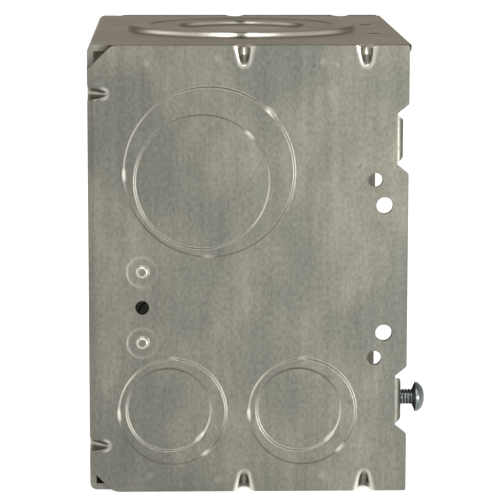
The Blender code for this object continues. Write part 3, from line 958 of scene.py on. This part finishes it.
def head_arrays(sizes):
    """A slotted domed head along +X from its underside.

    Rows run along the slot, so that two rows lie on each of its edges. The dome is the rim plus
    the rest of the height times the root of 1 less a power of the distance from the axis.
    """
    head = sizes.head_radius * MM
    neck = sizes.radius * MM / head
    half = sizes.slot_width * MM / 2
    step = 0.04
    inner = np.linspace(-half, half, 5)
    outer = half + step + (head - half - step) * np.sin(np.linspace(0, RIGHT_ANGLE, 18))
    b = np.concatenate([-outer[::-1], inner, outer])
    t = np.sin(np.linspace(-RIGHT_ANGLE, RIGHT_ANGLE, 41))
    chord = np.sqrt(np.maximum(head * head - b * b, TINY))
    a = chord[:, None] * t[None, :]
    b = np.broadcast_to(b[:, None], a.shape)
    away = np.clip(np.hypot(a, b) / head, 0, 1)
    dome = HEAD_RIM + (HEAD_RISE - HEAD_RIM) * np.sqrt(np.maximum(1 - away ** 2.2, 0))
    slot = np.minimum(dome, HEAD_RISE - sizes.slot_depth * MM)
    dome = np.where(np.abs(b) <= half + TINY, slot, dome)
    under = HEAD_RIM * 0.9 * np.clip((away - neck) / (1 - neck), 0, 1)
    points = np.concatenate([np.stack([x, a, b], -1).reshape(-1, 3) for x in (dome, under)])
    grid = grid_faces(len(chord), len(t), False)
    count = len(points) // 2
    c, d = boundary(np.concatenate([grid[:, [0, 1, 2]], grid[:, [0, 2, 3]]])).T
    faces = grid.tolist() + (grid[:, ::-1] + count).tolist()
    return points, faces + np.stack([d, c, c + count, d + count], 1).tolist()


def make_screw(sizes, name, cad_node, slot_turn):
    """A cover screw whose tip and axis are those of its solid."""
    low, high = (np.array(corner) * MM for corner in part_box(cad_node))
    middle = (low + high) / 2
    shank, faces = shank_arrays(sizes)
    head, head_faces = head_arrays(sizes)
    faces += [[i + len(shank) for i in face] for face in head_faces]
    turn = np.array(Matrix.Rotation(slot_turn, 3, "X"))
    points = np.concatenate([shank, head]) @ turn.T
    points = points + (low[0] + SCREW_LENGTH, middle[1], middle[2])
    thing = new_object(name, points, faces)
    weld(thing.data, 1e-7)
    thing.data.set_sharp_from_angle(angle=math.radians(35))
    return thing


# ---- Materials


def fill(tree, made, sockets):
    """Set each socket of a node to its constant, or link it where the value is an output."""
    for key, value in sockets.items():
        if isinstance(value, bpy.types.NodeSocket):
            tree.links.new(value, made.inputs[key])
        else:
            made.inputs[key].default_value = value


def new_tree(store, name):
    """A new material or world, and its node tree."""
    made = store.new(name)
    made.use_nodes = True
    return made, made.node_tree


def node(tree, kind, sockets=None, **values):
    """Add a node to the right of the last one, with its settings and sockets."""
    made = tree.nodes.new(kind)
    made.location = (200 * len(tree.nodes), 0)
    for key, value in values.items():
        setattr(made, key, value)
    fill(tree, made, sockets or {})
    return made


def maths(tree, operation, *values, clamp=False):
    sockets = dict(enumerate(values))
    made = node(tree, "ShaderNodeMath", sockets, operation=operation, use_clamp=clamp)
    return made.outputs["Value"]


def mix(tree, factor, a, b):
    sockets = {"Factor": factor, "A": a, "B": b}
    return node(tree, "ShaderNodeMix", sockets, data_type="RGBA").outputs["Result"]


def ramp(tree, value, low, high):
    """A smooth step from 0 at the low value to 1 at the high one."""
    sockets = {"Value": value, "From Min": low, "From Max": high}
    made = node(tree, "ShaderNodeMapRange", sockets, interpolation_type="SMOOTHSTEP")
    return made.outputs["Result"]


def zinc_skin_group():
    """Clouds, drawing streaks and short nicks of a galvanised sheet, from its own flat layout."""
    group = bpy.data.node_groups.new("zinc_skin", "ShaderNodeTree")
    face = group.interface
    enters = {"Place": "Vector", "Steel": "Color", "Warm": "Color", "Dark": "Color"}
    leaves = {"Colour": "Color", "Roughness": "Float", "Height": "Float"}
    for in_out, ends in (("INPUT", enters), ("OUTPUT", leaves)):
        for name, kind in ends.items():
            face.new_socket(name, in_out=in_out, socket_type="NodeSocket" + kind)
    enter = node(group, "NodeGroupInput").outputs

    def noise(scale, stretch, detail, rough):
        place = {"Scale": (1, stretch, 1), "Vector": enter["Place"]}
        place = node(group, "ShaderNodeMapping", place).outputs["Vector"]
        sockets = {"Vector": place, "Scale": scale, "Detail": detail, "Roughness": rough}
        return node(group, "ShaderNodeTexNoise", sockets).outputs["Fac"]

    def gain(source, amount):
        """1 plus the amount times how far the source lies from a half."""
        return maths(group, "MULTIPLY_ADD", source, amount, 1.0 - amount / 2)

    clouds = noise(210.0, 0.55, 5.0, 0.65)
    broad = noise(38.0, 0.7, 2.0, 0.5)
    streaks = noise(480.0, 0.06, 3.0, 0.6)
    grain = noise(1300.0, 0.6, 3.0, 0.6)
    nicks = noise(520.0, 0.6, 1.0, 0.4)
    base = mix(group, ramp(group, clouds, 0.36, 0.68), enter["Steel"], enter["Warm"])
    base = mix(group, ramp(group, broad, 0.62, 0.38), base, enter["Dark"])
    shade = maths(group, "MULTIPLY", gain(streaks, 0.45), gain(grain, 0.8))
    nick = maths(group, "MULTIPLY_ADD", ramp(group, nicks, 0.74, 0.8), -0.22, 1.0)
    shade = maths(group, "MULTIPLY", shade, nick)
    scaled = node(group, "ShaderNodeVectorMath", {0: base, "Scale": shade}, operation="SCALE")
    results = {
        "Colour": scaled.outputs["Vector"],
        "Roughness": maths(group, "MULTIPLY_ADD", clouds, 0.16, 0.36),
        "Height": maths(group, "ADD", streaks, grain),
    }
    node(group, "NodeGroupOutput", results)
    return group


def steel_material(colours, group):
    """Galvanised steel: cut edges, rubbed places and painted highlights are brighter and smoother,
    and painted shade darkens seams, troughs, ring edges and the side walls' inner faces.
    """
    made, tree = new_tree(bpy.data.materials, "galvanised_sheet")
    sockets = {
        "Place": node(tree, "ShaderNodeUVMap", uv_map="sheet").outputs["UV"],
        "Steel": (*colours.steel, 1),
        "Warm": (*colours.warm_patch, 1),
        "Dark": (*colours.dark_patch, 1),
    }
    skin = node(tree, "ShaderNodeGroup", sockets, node_tree=group).outputs
    cut, wear_and_highlight, painted_shade = (
        node(tree, "ShaderNodeAttribute", attribute_name=name).outputs["Fac"]
        for name in ("cut", "wear_and_highlight", "painted_shade")
    )
    bright = maths(tree, "MAXIMUM", maths(tree, "MULTIPLY", cut, 0.06), wear_and_highlight)
    tone = mix(tree, bright, skin["Colour"], (*colours.bright_edge_and_highlight, 1))
    bump = {"Strength": 0.1, "Distance": 0.0001, "Height": skin["Height"]}
    sockets = {
        "Metallic": 1.0,
        "Specular Tint": (0.81, 0.72, 0.62, 1),
        # The near-black colour that the painted shade mixes in
        "Base Color": mix(tree, painted_shade, tone, (0.03, 0.028, 0.022, 1)),
        "Roughness": maths(tree, "MULTIPLY_ADD", bright, -0.14, skin["Roughness"]),
        "Normal": node(tree, "ShaderNodeBump", bump).outputs["Normal"],
    }
    fill(tree, tree.nodes["Principled BSDF"], sockets)
    return made


def screw_material(colours, name):
    """Zinc plating whose tint and roughness vary with a fine noise."""
    made, tree = new_tree(bpy.data.materials, name)
    place = node(tree, "ShaderNodeTexCoord").outputs["Object"]
    noise = {"Vector": place, "Scale": 900.0, "Detail": 3.0}
    noise = node(tree, "ShaderNodeTexNoise", noise).outputs["Fac"]
    dark, light = ((*[part * c for c in colours.screw], 1) for part in (0.7, 1.35))
    rough = {"Value": noise, "To Min": 0.25, "To Max": 0.42}
    sockets = {
        "Metallic": 1.0,
        "Base Color": mix(tree, noise, dark, light),
        "Roughness": node(tree, "ShaderNodeMapRange", rough).outputs["Result"],
    }
    fill(tree, tree.nodes["Principled BSDF"], sockets)
    return made


# ---- Stage


def area_light(name, place, target, size, watts):
    """A rectangular softbox that is turned to its target and not seen by the camera."""
    data = bpy.data.lights.new(name, "AREA")
    data.shape = "RECTANGLE"
    data.size, data.size_y = size
    data.energy = watts
    thing = add_object(name, data)
    thing.location = place
    direction = Vector(target) - Vector(place)
    thing.rotation_euler = direction.to_track_quat("-Z", "Y").to_euler()
    thing.visible_camera = False


def add_camera(settings):
    """Camera at the photograph's viewpoint: yaw about Z, then pitch down, then a small roll."""
    yaw, pitch, roll = (math.radians(angle) for angle in (1.585, 8.886, 0.072))
    turn = Matrix.Rotation(roll, 3, "Y") @ Matrix.Rotation(pitch, 3, "X")
    right, forward, up = turn @ Matrix.Rotation(yaw, 3, "Z")
    place = (BACK_X * METRES + 0.02264, -HALF * METRES - 0.67383, 0.1686)
    data = bpy.data.cameras.new("camera")
    data.lens = settings.lens
    data.sensor_width = 36.0
    data.clip_start = 0.02
    data.clip_end = 30.0
    thing = add_object("camera", data)
    axes = Matrix((right, up, -forward)).transposed().to_4x4()
    thing.matrix_world = Matrix.Translation(place) @ axes
    bpy.context.scene.camera = thing


def white_for_camera(tree):
    """1 for camera, glossy and transmission rays, otherwise 0."""
    path = node(tree, "ShaderNodeLightPath").outputs
    seen = maths(tree, "ADD", path["Is Camera Ray"], path["Is Glossy Ray"], clamp=True)
    return maths(tree, "ADD", seen, path["Is Transmission Ray"], clamp=True)


def make_floor(settings):
    """A round floor whose radius and angle are the two parameters."""
    radii = (0, 100, 300, 1000, 3000, 8000)
    points = np.insert(np.concatenate(circles(0, 0, radii, 64)), 2, -0.15, axis=1)
    floor = new_object("floor", points, grid_faces(len(radii), 64, True)[:, ::-1].tolist())
    weld(floor.data, TINY)
    if floor.data.polygons[0].normal.z < 0:
        floor.data.flip_normals()

    # It glows a little, so that it is seen and mirrored as white as the surroundings
    made, tree = new_tree(bpy.data.materials, "studio_floor")
    tree.nodes.clear()
    diffuse = node(tree, "ShaderNodeBsdfDiffuse", {"Color": (*settings.floor, 1)}).outputs["BSDF"]
    glow = node(tree, "ShaderNodeEmission", {"Strength": 0.66}).outputs["Emission"]
    both = node(tree, "ShaderNodeAddShader", {0: diffuse, 1: glow}).outputs["Shader"]
    sockets = {"Fac": white_for_camera(tree), 1: diffuse, 2: both}
    shown = node(tree, "ShaderNodeMixShader", sockets).outputs["Shader"]
    node(tree, "ShaderNodeOutputMaterial", {"Surface": shown})
    floor.data.materials.append(made)


def make_world():
    """White all round. In reflections it falls off to grey overhead, as a studio does."""
    bpy.context.scene.world, tree = new_tree(bpy.data.worlds, "studio")
    direction = node(tree, "ShaderNodeTexCoord").outputs["Generated"]
    height = node(tree, "ShaderNodeSeparateXYZ", {"Vector": direction}).outputs["Z"]
    glossy = node(tree, "ShaderNodeLightPath").outputs["Is Glossy Ray"]
    overhead = maths(tree, "MULTIPLY", ramp(tree, height, 0.3, 0.85), glossy)
    shown = mix(tree, overhead, (1, 1, 1, 1), (0.5, 0.48, 0.45, 1))
    around = mix(tree, white_for_camera(tree), (0.5, 0.5, 0.5, 1), shown)
    fill(tree, tree.nodes["Background"], {"Color": around, "Strength": 1.0})


# ---- Operators


class FoldSheet(bpy.types.Operator):
    """Fold the steel sheet with its knockouts, gussets and ears, and give it its galvanised skin"""

    bl_idname = "electrical_box.fold_sheet"
    bl_label = "Fold the sheet"

    def execute(self, context):
        scene = context.scene
        sheet = make_sheet(scene.box_sizes)
        if not sheet.data.polygons:
            raise RuntimeError("the folded sheet has no faces")
        sheet.data.materials.append(steel_material(scene.box_colours, zinc_skin_group()))
        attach(sheet, "root")
        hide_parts("box_body")
        return {"FINISHED"}


class TurnScrews(bpy.types.Operator):
    """Make the two threaded cover screws with their slotted heads"""

    bl_idname = "electrical_box.turn_screws"
    bl_label = "Make the cover screws"

    def execute(self, context):
        scene = context.scene
        rows = (
            ("cover_screw_lower", "cover_screw_near", "zinc_plated_lower_screw", 84.0),
            ("cover_screw_upper", "cover_screw_far", "zinc_plated_upper_screw", 110.0),
        )
        for name, node_name, slot, turn in rows:
            screw = make_screw(scene.screw_sizes, name, node_name, math.radians(turn))
            screw.data.materials.append(screw_material(scene.box_colours, slot + "_skin"))
            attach(screw, "root")
            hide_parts(node_name)
        return {"FINISHED"}


class SetStage(bpy.types.Operator):
    """Set the floor, the lights, the white surroundings and the camera"""

    bl_idname = "electrical_box.set_stage"
    bl_label = "Set the stage"

    def execute(self, context):
        stage = context.scene.box_stage
        make_floor(stage)
        make_world()
        middle = (0, 0, 0.06)
        front = (0.14, -0.22, 0)
        area_light("left_softbox", (-0.8, -0.05, 0.25), middle, (1.1, 0.7), stage.left_light)
        area_light("right_softbox", (0.4, -0.58, 0.035), middle, (0.22, 0.06), stage.right_light)
        area_light("top_softbox", (0.04, -0.5, 0.5), front, (0.6, 0.3), stage.top_light)
        add_camera(stage)
        context.scene.view_settings.view_transform = "Standard"
        return {"FINISHED"}


class BoxPanel(bpy.types.Panel):
    """Sizes, colours and operators of the box"""

    bl_idname = "VIEW3D_PT_electrical_box"
    bl_label = "Electrical box"
    bl_space_type = "VIEW_3D"
    bl_region_type = "UI"
    bl_category = "Box"

    def draw(self, context):
        scene = context.scene
        for title, group, operator in (
            ("Sheet", scene.box_sizes, FoldSheet),
            ("Screws", scene.screw_sizes, TurnScrews),
            ("Stage", scene.box_stage, SetStage),
            ("Colours", scene.box_colours, None),
        ):
            box = self.layout.box()
            box.label(text=title)
            for key in group.__annotations__:
                box.prop(group, key)
            if operator:
                box.operator(operator.bl_idname)


GROUPS = {
    "box_sizes": BoxSizes,
    "screw_sizes": ScrewSizes,
    "box_colours": BoxColours,
    "box_stage": StageSettings,
}
CLASSES = (*GROUPS.values(), FoldSheet, TurnScrews, SetStage, BoxPanel)


def register():
    for cls in CLASSES:
        bpy.utils.register_class(cls)
    for name, cls in GROUPS.items():
        setattr(bpy.types.Scene, name, bpy.props.PointerProperty(type=cls))


def unregister():
    for name in GROUPS:
        delattr(bpy.types.Scene, name)
    for cls in reversed(CLASSES):
        bpy.utils.unregister_class(cls)


def main():
    register()
    bpy.ops.electrical_box.set_stage()
    bpy.ops.electrical_box.fold_sheet()
    bpy.ops.electrical_box.turn_screws()


if __name__ == "__main__":
    main()
